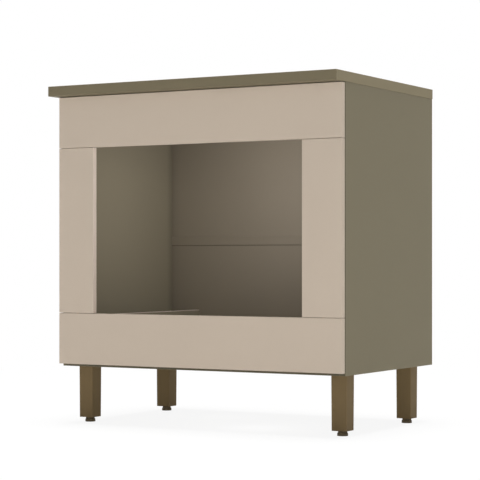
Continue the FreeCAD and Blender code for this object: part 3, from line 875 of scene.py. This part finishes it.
class ScrewTree(Graph):
    """Sets a threaded screw on every point of a mesh, aimed along the point's own vector."""

    sizes: tuple[str, ...] = ("Crest Radius", "Core Radius", "Pitch", "Thread Start",
                              "Thread Length", "Recess Reach", "Recess Width", "Recess Top")
    kinds: dict[str, str] = {"Form": "Object", "Material": "Material", "Steps": "Int",
                             **dict.fromkeys(sizes, "Float")}

    def __init__(self) -> None:
        """Builds the tree with its named inputs, and keeps each one's identifier."""
        super().__init__(bpy.data.node_groups.new("screws on points", "GeometryNodeTree"))
        self.socket("Geometry", "Geometry")
        self.ids = {name: self.socket(name, kind) for name, kind in self.kinds.items()}
        self.socket("Geometry", "Geometry", "OUTPUT")
        given = self.node("NodeGroupInput")
        self.given = {out.name: Wire(self, out) for out in given.outputs if out.name}
        form = self.wire("GeometryNodeObjectInfo", sockets={"Object": self.given["Form"]},
                         output="Geometry")
        cut = self.wire("GeometryNodeMeshBoolean", {"operation": "DIFFERENCE", "solver": "EXACT"},
                        {"Mesh 1": form, "Mesh 2": self.recess()})
        whole = self.node("GeometryNodeJoinGeometry")
        for part in (self.thread(), cut):
            self.feed(whole.inputs[0], part)
        aim = self.wire("GeometryNodeInputNamedAttribute", {"data_type": "FLOAT_VECTOR"},
                        {"Name": "aim"})
        turn = self.wire("FunctionNodeAlignRotationToVector", {"axis": "Z"}, {"Vector": aim})
        spread = self.wire("GeometryNodeInstanceOnPoints", sockets={
            "Points": self.given["Geometry"], "Instance": whole.outputs[0], "Rotation": turn})
        real = self.wire("GeometryNodeRealizeInstances", sockets={0: spread})
        done = self.wire("GeometryNodeSetMaterial", sockets={
            "Geometry": real, "Material": self.given["Material"]})
        self.node("NodeGroupOutput", sockets={0: done})

    def socket(self, name: str, kind: str, way: str = "INPUT") -> str:
        """Gives the tree an input or an output.

        Args:
            name: Its name.
            kind: What it carries.
            way: INPUT or OUTPUT.

        Returns:
            Its identifier.
        """
        return self.tree.interface.new_socket(
            name, in_out=way, socket_type=f"NodeSocket{kind}").identifier

    def thread(self) -> Wire:
        """Winds the ridge of the thread round the core.

        Returns:
            The wire of its mesh.
        """
        given = self.given
        helix = self.wire("GeometryNodeCurveSpiral", sockets={
            "Resolution": given["Steps"], "Rotations": given["Thread Length"] / given["Pitch"],
            "Start Radius": given["Core Radius"], "End Radius": given["Core Radius"],
            "Height": given["Thread Length"]})
        level = self.wire("GeometryNodeSetCurveNormal", {"mode": "Z_UP"}, {"Curve": helix})
        ridge = self.wire("GeometryNodeCurvePrimitiveCircle", {"mode": "RADIUS"}, {
            "Resolution": 4, "Radius": given["Crest Radius"] - given["Core Radius"]})
        swept = self.wire("GeometryNodeCurveToMesh", sockets={
            "Curve": level, "Profile Curve": ridge, "Fill Caps": True})
        lift = self.wire("ShaderNodeCombineXYZ", sockets={"Z": given["Thread Start"]})
        return self.wire("GeometryNodeTransform", sockets={"Geometry": swept, "Translation": lift})

    def recess(self) -> Wire:
        """Makes the cross that a driver fits, at the top of the head.

        Returns:
            The wire of the mesh that is cut out of the head.
        """
        given = self.given
        bars = self.node("GeometryNodeJoinGeometry")
        deep = given["Recess Reach"] * 1.4
        for long_side in (0, 1):
            sizes = [given["Recess Width"], given["Recess Width"], deep]
            sizes[long_side] = given["Recess Reach"] * 2
            size = self.wire("ShaderNodeCombineXYZ", sockets=dict(enumerate(sizes)))
            self.feed(bars.inputs[0], self.wire("GeometryNodeMeshCube", sockets={"Size": size}))
        cross = self.wire("GeometryNodeMeshBoolean", {"operation": "UNION", "solver": "EXACT"},
                          {"Mesh 2": bars.outputs[0], "Self Intersection": True})
        lift = self.wire("ShaderNodeCombineXYZ", sockets={"Z": given["Recess Top"]})
        return self.wire("GeometryNodeTransform", sockets={"Geometry": cross, "Translation": lift})

    def grow(self, name: str, kind: ScrewKind, sites: list[Site],
             material: bpy.types.Material) -> Piece:
        """Makes one plain mesh of like screws.

        The tree always cuts a recess, so a screw without one gets one that is too small to see.

        Args:
            name: The new object's name.
            kind: The sizes of the screw.
            sites: For each screw the middle of its seat, and the way that it points.
            material: Its finish.

        Returns:
            The new object, with a plain mesh.
        """
        form = lathe(f"{name}_form", kind.profile(), Vector(), kind.around)
        points = bpy.data.meshes.new(name)
        points.from_pydata([place for place, _ in sites], [], [])
        aim = points.attributes.new("aim", "FLOAT_VECTOR", "POINT")
        aim.data.foreach_set("vector", [v for _, way in sites for v in way])
        obj = placed(name, points)
        bare_tip = 0.6 * max(kind.point, kind.pitch)
        values = {
            "Form": form, "Material": material, "Crest Radius": kind.crest_radius,
            "Core Radius": kind.core_radius, "Pitch": kind.pitch,
            "Thread Start": kind.plain_shank,
            "Thread Length": kind.length - kind.plain_shank - bare_tip,
            "Recess Reach": max(kind.recess, 0.02 * MM),
            "Recess Width": max(kind.recess * 0.34, 0.01 * MM),
            "Recess Top": 0.0 if kind.style is HeadStyle.SUNK else -kind.head_height,
            "Steps": kind.around}
        modifier = obj.modifiers.new("screws", "NODES")
        modifier.node_group = self.tree
        for key, value in values.items():
            modifier[self.ids[key]] = value
        plain(obj)
        bpy.data.objects.remove(form)
        for face in obj.data.polygons:
            face.use_smooth = True
        obj.data.set_sharp_from_angle(angle=SHARP)
        return obj


@cache
def screw_tree() -> ScrewTree:
    """The one tree that every group of screws shares."""
    return ScrewTree()


def lumps(node: str) -> list[list[Vector]]:
    """The points of each separate solid in a CAD node.

    Args:
        node: The node's name.

    Returns:
        One list of points for each solid.
    """
    shape = merged(node)
    left, found = set(shape.verts), []
    while left:
        reach, lump = [left.pop()], []
        while reach:
            vert = reach.pop()
            lump.append(vert.co.copy())
            near = {edge.other_vert(vert) for edge in vert.link_edges} & left
            left -= near
            reach.extend(near)
        found.append(lump)
    shape.free()
    return found


def girth(points: list[Vector], middle: Vector, axis: int, end: float) -> float:
    """How far a screw reaches from its axis at one of its ends.

    Args:
        points: The points of the screw.
        middle: The middle of its box.
        axis: The number of the coordinate that it lies along.
        end: Where the end is on that axis.

    Returns:
        The radius there.
    """
    across = [k for k in range(3) if k != axis]
    return max(math.hypot(*((point - middle)[k] for k in across))
               for point in points if abs(point[axis] - end) < AT_END)


def screw_sites(node: str, kind: ScrewKind) -> list[Site]:
    """Where the screws of a CAD node sit, and which way they point.

    Args:
        node: The node's name.
        kind: The sizes of its screws.

    Returns:
        For each screw the middle of its seat and the way that it points, in the order of the seats.
    """
    sites = []
    for points in lumps(node):
        low, high = (Vector(pick(p[k] for p in points) for k in range(3)) for pick in (min, max))
        size, middle = high - low, (low + high) / 2
        axis = max(range(3), key=lambda k: size[k])
        way = Vector(float(k == axis) for k in range(3))
        if girth(points, middle, axis, low[axis]) <= girth(points, middle, axis, high[axis]):
            way = -way
        seat = middle - way * size[axis] / 2
        if kind.style is not HeadStyle.SUNK:
            seat = seat + way * kind.head_height
        sites.append((seat, way))
    return sorted(sites, key=lambda site: tuple(site[0]))


# ------------ The cabinet's sub-assemblies ------------


@dataclass
class SubAssembly:
    """A group of pieces that belong together, each on its own CAD body."""

    finishes: dict[str, Finish] = field(default_factory=dict, init=False)
    shapes: dict[str, Piece] = field(default_factory=dict, init=False)
    paints: dict[str, bpy.types.Material] = field(default_factory=dict, init=False)

    def build(self) -> None:
        """Names the finish of each node, and makes the shapes that stand for some of them."""
        raise NotImplementedError

    def paint_of(self, node: str) -> bpy.types.Material:
        """The material of a node's piece, made when it is first asked for.

        Args:
            node: The CAD node that the piece is or stands for.

        Returns:
            The material.
        """
        if node not in self.paints:
            self.paints[node] = self.finishes[node].material(node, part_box(node))
        return self.paints[node]

    def dress(self) -> None:
        """Gives every piece its finish, and every new piece its body and its node."""
        for node, finish in self.finishes.items():
            piece = self.shapes.get(node, frame["nodes"][node])
            piece.data.materials.clear()
            piece.data.materials.append(self.paint_of(node))
            if node in self.shapes:
                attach(piece, self.body_of(node))
                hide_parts(node)
            log.info("%s: %s, %s, %d faces", type(self).__name__, piece.name, finish.name,
                     len(piece.data.polygons))

    def body_of(self, node: str) -> str:
        """The CAD body that a node rides on."""
        bodies = frame["record"]["behaviour"]["bodies"]
        return next(body for body, nodes in bodies.items() if node in nodes)


@dataclass
class Worktop(SubAssembly):
    """The worktop board, and the sizes of the screws that hold it from below."""

    arris: float = 1.2 * MM
    screw: ScrewKind = ScrewKind(
        HeadStyle.PAN, head_radius=4.5 * MM, head_height=2.4 * MM, core_radius=1.35 * MM,
        crest_radius=2.1 * MM, length=30 * MM, pitch=1.8 * MM, plain_shank=2 * MM,
        point=3.5 * MM, recess=2.4 * MM)

    def build(self) -> None:
        """Makes the board with its rounded arrises."""
        self.finishes = {"worktop": WORKTOP_LAMINATE}
        self.shapes["worktop"] = board("worktop_board", "worktop", self.arris)


@dataclass
class FrontFrame(SubAssembly):
    """The four fixed boards round the niche, and the dowels that line them up."""

    arris: float = 0.8 * MM
    boards: tuple[str, ...] = ("front_rail_top", "front_rail_bottom", "front_stile_left",
                               "front_stile_right")

    def build(self) -> None:
        """Makes each board with its rounded arrises."""
        self.finishes = {node: FRONT_LAMINATE for node in self.boards}
        self.finishes["frame_dowels"] = UPRIGHT_BEECH
        for node in self.boards:
            self.shapes[node] = board(f"{node}_board", node, self.arris)


@dataclass
class Carcass(SubAssembly):
    """The sides, the base and the two stretchers, with their hidden fittings."""

    boards: tuple[str, ...] = ("side_panel_left", "side_panel_right", "base_panel",
                               "stretcher_front", "stretcher_rear")

    def build(self) -> None:
        """Keeps the bored and grooved CAD boards."""
        self.finishes = {node: SIDE_LAMINATE if node.startswith("side") else CARCASS_LAMINATE
                         for node in self.boards}
        self.finishes.update({"carcass_dowels": DOWEL_BEECH, "cam_bolts": FITTING_STEEL,
                              "cam_locks": FITTING_STEEL})


@dataclass
class Back(SubAssembly):
    """The two thin back boards and the profile between them."""

    edge: float = 0.25 * MM

    def build(self) -> None:
        """Keeps the back boards and softens the profile."""
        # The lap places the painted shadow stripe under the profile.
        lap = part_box("back_panel_lower")[1].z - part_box("back_joint_profile")[0].z
        self.finishes = {"back_panel_lower": replace(BACK_BOARD, lap=lap),
                         "back_panel_upper": BACK_BOARD, "back_joint_profile": JOINT_PROFILE}
        self.shapes["back_joint_profile"] = softened("back_joint_profile_extrusion",
                                                     "back_joint_profile", self.edge)


@dataclass
class OvenRunners(SubAssembly):
    """The boards on edge that an oven stands on, their pale bands and their screws' sizes."""

    screw: ScrewKind = ScrewKind(
        HeadStyle.SUNK, head_radius=4.6 * MM, head_height=2.8 * MM, core_radius=1.7 * MM,
        crest_radius=2.6 * MM, length=50 * MM, pitch=2.2 * MM, plain_shank=14 * MM,
        point=4 * MM, recess=2.6 * MM)

    def build(self) -> None:
        """Keeps the CAD runners and their bands."""
        for hand in ("left", "right"):
            self.finishes[f"oven_runner_{hand}"] = CARCASS_LAMINATE
            self.finishes[f"runner_edge_band_{hand}"] = EDGE_BAND


@dataclass
class FrontBrackets(SubAssembly):
    """The bent angles that hold the front frame off the carcass, and their screws' sizes."""

    edge: float = 0.3 * MM
    screw: ScrewKind = ScrewKind(
        HeadStyle.PAN, head_radius=3.5 * MM, head_height=1.8 * MM, core_radius=1.15 * MM,
        crest_radius=1.75 * MM, length=12 * MM, pitch=1.4 * MM, plain_shank=0.2 * MM,
        point=2.5 * MM, recess=1.9 * MM)

    def build(self) -> None:
        """Softens the edges of the bent steel."""
        self.finishes = {"front_brackets": FITTING_STEEL}
        self.shapes["front_brackets"] = softened("front_brackets_bent", "front_brackets",
                                                 self.edge)


@dataclass
class Leg(SubAssembly):
    """One square leg with the socket that it is pushed on to, and the nut in its foot."""

    corner: str
    edge: float = 0.35 * MM
    screw: ScrewKind = ScrewKind(
        HeadStyle.PAN, head_radius=5 * MM, head_height=2.8 * MM, core_radius=1.7 * MM,
        crest_radius=2.6 * MM, length=16 * MM, pitch=2.2 * MM, plain_shank=1 * MM,
        point=3 * MM, recess=2.8 * MM)

    def build(self) -> None:
        """Softens the moulded leg, its socket and its nut."""
        parts = {"leg": LEG_PLASTIC, "leg_socket": LEG_PLASTIC, "leg_nut": FITTING_STEEL}
        for part, finish in parts.items():
            node = f"{part}_{self.corner}"
            self.finishes[node] = finish
            self.shapes[node] = softened(f"{node}_moulding", node, self.edge)


@dataclass
class Screws(SubAssembly):
    """All the screws, made by one tree."""

    kinds: dict[str, ScrewKind] = field(default_factory=lambda: {
        "bracket_screws": FrontBrackets.screw, "runner_screws": OvenRunners.screw,
        "worktop_screws": Worktop.screw, "leg_socket_screws": Leg.screw})

    def build(self) -> None:
        """Grows each group of screws on the places of its CAD node."""
        for node, kind in self.kinds.items():
            self.finishes[node] = FITTING_STEEL
            self.shapes[node] = screw_tree().grow(f"{node}_threaded", kind,
                                                  screw_sites(node, kind), self.paint_of(node))


@dataclass
class LevellingFoot(SubAssembly):
    """One foot: the round pad, and the threaded stem with its six-sided grip.

    The stem's length and bare shank are set from the CAD model.
    """

    corner: str
    around: int = 48
    top_inset: float = 0.6 * MM
    lip_radius: float = 4.1 * MM
    well_radius: float = 5.9 * MM
    well_low: float = 2.0 * MM
    well_high: float = 4.5 * MM
    grip_edge: float = 0.5 * MM
    stem: ScrewKind = ScrewKind(
        HeadStyle.DISC, head_radius=5.6 * MM, head_height=2.4 * MM, core_radius=3.45 * MM,
        crest_radius=4 * MM, length=30 * MM, pitch=1.25 * MM, around=24)

    def pad_profile(self, radius: float, height: float) -> Outline:
        """The outline of the pad: a soft outer edge, two grip rings below, and the well inside.

        Args:
            radius: The radius of the pad at the floor.
            height: The height of the pad.

        Returns:
            The (radius, height) points from the axis round to the axis.
        """
        top, lip = radius - self.top_inset, self.lip_radius
        rings = [(0, 0.5 * MM), (5 * MM, 0.5 * MM), (5.4 * MM, 0), (7.4 * MM, 0),
                 (7.8 * MM, 0.5 * MM), (9.4 * MM, 0.5 * MM), (9.8 * MM, 0)]
        foot_edge = [(radius - 0.5 * MM, 0), (radius - 0.15 * MM, 0.15 * MM), (radius, 0.5 * MM)]
        top_edge = [(top + 0.1 * MM, height - 0.8 * MM), (top - 0.1 * MM, height - 0.3 * MM),
                    (top - 0.4 * MM, height - 0.08 * MM), (top - 0.8 * MM, height)]
        mouth = [(lip + 0.3 * MM, height), (lip, height - 0.3 * MM), (lip, self.well_high)]
        well = [(self.well_radius, self.well_high), (self.well_radius, self.well_low),
                (0, self.well_low)]
        return rings + foot_edge + top_edge + mouth + well

    def build(self) -> None:
        """Turns the pad, threads the stem and softens the grip."""
        pad, stem, grip = (f"foot_{part}_{self.corner}" for part in ("pad", "stem", "collar"))
        self.finishes = {pad: FOOT_PLASTIC, stem: FITTING_STEEL, grip: FOOT_PLASTIC}
        low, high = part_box(pad)
        middle = Vector(((low.x + high.x) / 2, (low.y + high.y) / 2, 0))
        profile = self.pad_profile((high.x - low.x) / 2, high.z)
        self.shapes[pad] = lathe(f"{pad}_moulding", profile, middle, self.around)
        bottom, top = (corner.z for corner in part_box(stem))
        seat = bottom + self.stem.head_height
        kind = replace(self.stem, length=top - seat, plain_shank=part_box(grip)[1].z - seat)
        site = (middle + Vector((0, 0, seat)), Vector((0, 0, 1)))
        self.shapes[stem] = screw_tree().grow(f"{stem}_threaded", kind, [site],
                                              self.paint_of(stem))
        self.shapes[grip] = softened(f"{grip}_moulding", grip, self.grip_edge, 3)


# ------------ The studio ------------


class LampKind(Enum):
    """How a lamp spreads its light."""

    DISTANT = "SUN"
    PANEL = "AREA"
    GLOBE = "POINT"


WHITE: Colour = (1.0, 1.0, 1.0)
COOL: Colour = (0.98, 0.98, 1.12)


@dataclass(frozen=True)
class SoftLamp:
    """A lamp aimed at a point.

    Its size is a panel's side, a globe's radius or a distant lamp's angle in degrees. Its power is
    in watts, or in watts on each square metre for a distant lamp.
    """

    name: str
    kind: LampKind
    place: Triple
    target: Triple
    size: float
    power: float
    tint: Colour = WHITE

    def hang(self) -> None:
        """Adds the lamp to the scene, out of the camera's sight."""
        lamp = bpy.data.lights.new(self.name, self.kind.value)
        lamp.energy, lamp.color = self.power, self.tint
        if self.kind is LampKind.DISTANT:
            lamp.angle = math.radians(self.size)
        elif self.kind is LampKind.PANEL:
            lamp.size = self.size
        else:
            lamp.shadow_soft_size = self.size
        held = bpy.data.objects.new(self.name, lamp)
        held.location = self.place
        way = Vector(self.target) - Vector(self.place)
        held.rotation_euler = way.to_track_quat("-Z", "Y").to_euler()
        held.visible_camera = False
        held.visible_glossy = self.kind is LampKind.DISTANT
        bpy.context.scene.collection.objects.link(held)


@dataclass
class Studio:
    """A pale floor, soft lamps and a white surround.

    Up to shadow_near from the middle the floor shows shadow_share of its own shading, and from
    shadow_far on it is plain white.
    """

    ambient: float = 0.28
    floor_colour: Colour = (0.9, 0.9, 0.9)
    floor_half: float = 30.0
    shadow_share: float = 0.1
    shadow_near: float = 0.9
    shadow_far: float = 2.2
    lamps: tuple[SoftLamp, ...] = (
        SoftLamp("overhead lamp", LampKind.DISTANT,
                 (0.0, -0.01, 5.0), (0.0, 0.0, 0.0), 20.0, 2.8),
        SoftLamp("front right lamp", LampKind.DISTANT,
                 (7.071, -7.071, 0.524), (0.0, 0.0, 0.0), 12.0, 0.29),
        SoftLamp("front reflector", LampKind.PANEL,
                 (0.8, -2.6, 0.03), (0.0, 0.0, 0.6), 3.0, 19.0),
        *(SoftLamp(f"niche fill {way}", LampKind.PANEL, place, target, size, power, COOL)
          for way, place, target, size, power in (
              ("rear left", (0.1, -0.16, 0.52), (-0.3, 0.27, 0.52), 0.18, 0.5),
              ("up rear", (0.15, -0.1, 0.55), (-0.25, 0.27, 0.75), 0.15, 0.14),
              ("low rear", (0.0, -0.12, 0.45), (0.3, 0.27, 0.33), 0.15, 0.11),
              ("up left", (0.28, 0.0, 0.70), (-1.0, 0.0, 0.74), 0.2, 0.62),
              ("wall", (0.1, -0.06, 0.6), (-0.38, 0.2, 0.78), 0.12, 0.38))),
        SoftLamp("niche fill top", LampKind.GLOBE,
                 (-0.05, 0.02, 0.70), (0.0, 0.0, 0.0), 0.12, 0.18, COOL),
        SoftLamp("low fill", LampKind.GLOBE,
                 (-0.1, 0.12, 0.07), (0.0, 0.0, 0.6), 0.12, 0.15),
        SoftLamp("low fill to the rear", LampKind.GLOBE,
                 (0.1, -0.1, 0.08), (0.0, 0.0, 0.6), 0.12, 0.42))

    def build(self) -> None:
        """Lays the floor, hangs the lamps and sets the surround."""
        self.lay_floor()
        for lamp in self.lamps:
            lamp.hang()
        self.surround()
        bpy.context.scene.view_settings.view_transform = "Standard"

    def seen(self, graph: Graph) -> Wire:
        """Tells the rays that show the surround from those that light the object by it.

        Args:
            graph: The tree that asks.

        Returns:
            1 where it is seen directly, in metal or through glass, and 0 where it gives light.
        """
        path = graph.node("ShaderNodeLightPath")
        straight, mirrored, through = (Wire(graph, path.outputs[name]) for name in
                                       ("Is Camera Ray", "Is Glossy Ray", "Is Transmission Ray"))
        return straight.most(mirrored).most(through)

    def lay_floor(self) -> None:
        """Lays a floor that fades to the white surround and keeps the object's shadow."""
        shape = bmesh.new()
        bmesh.ops.create_grid(shape, x_segments=1, y_segments=1, size=self.floor_half)
        floor = formed("floor", shape)
        paint = bpy.data.materials.new("pale_floor")
        paint.use_nodes = True
        graph = Graph(paint.node_tree)
        place = graph.wire("ShaderNodeTexCoord", output="Object")
        away = graph.wire("ShaderNodeVectorMath", {"operation": "LENGTH"}, {0: place}, "Value")
        clear = 1 - self.shadow_share * away.rise(self.shadow_far, self.shadow_near)
        matt = graph.wire("ShaderNodeBsdfDiffuse", sockets={"Color": self.floor_colour})
        white = graph.wire("ShaderNodeEmission", sockets={"Color": WHITE, "Strength": 1.0})
        mixed = graph.wire("ShaderNodeMixShader",
                           sockets={0: clear * self.seen(graph), 1: matt, 2: white})
        graph.node("ShaderNodeOutputMaterial", sockets={"Surface": mixed})
        floor.data.materials.append(paint)

    def surround(self) -> None:
        """Makes the surround white to the eye and even as a light."""
        world = bpy.data.worlds.new("surround")
        world.use_nodes = True
        bpy.context.scene.world = world
        graph = Graph(world.node_tree)
        strength = self.ambient + (1 - self.ambient) * self.seen(graph)
        glow = graph.wire("ShaderNodeBackground", sockets={"Color": WHITE, "Strength": strength})
        graph.node("ShaderNodeOutputWorld", sockets={"Surface": glow})


@dataclass
class PhotoCamera:
    """A level camera where the photographer stood."""

    place: Triple = (2.1464, -3.757, 0.4166)
    turn_degrees: float = 29.808
    lens: float = 127.33
    sensor: float = 36.0
    shift_up: float = 0.03979
    sight: float = 200.0

    def build(self) -> None:
        """Adds the camera and looks through it."""
        camera = bpy.data.cameras.new("photo camera")
        camera.lens, camera.sensor_width, camera.shift_y = self.lens, self.sensor, self.shift_up
        camera.clip_end = self.sight
        held = bpy.data.objects.new("photo camera", camera)
        held.location = self.place
        held.rotation_euler = (math.pi / 2, 0.0, math.radians(self.turn_degrees))
        bpy.context.scene.collection.objects.link(held)
        bpy.context.scene.camera = held


def main() -> None:
    """Builds and dresses every sub-assembly, then sets the studio and the camera."""
    logging.basicConfig(level=logging.INFO, format="%(message)s")
    groups: list[SubAssembly] = [Worktop(), FrontFrame(), Carcass(), Back(), OvenRunners(),
                                 FrontBrackets(), Screws()]
    groups += [Leg(corner) for corner in CORNERS]
    groups += [LevellingFoot(corner) for corner in CORNERS]
    for group in groups:
        group.build()
        group.dress()
    PhotoCamera().build()
    Studio().build()


if __name__ == "__main__":
    main()
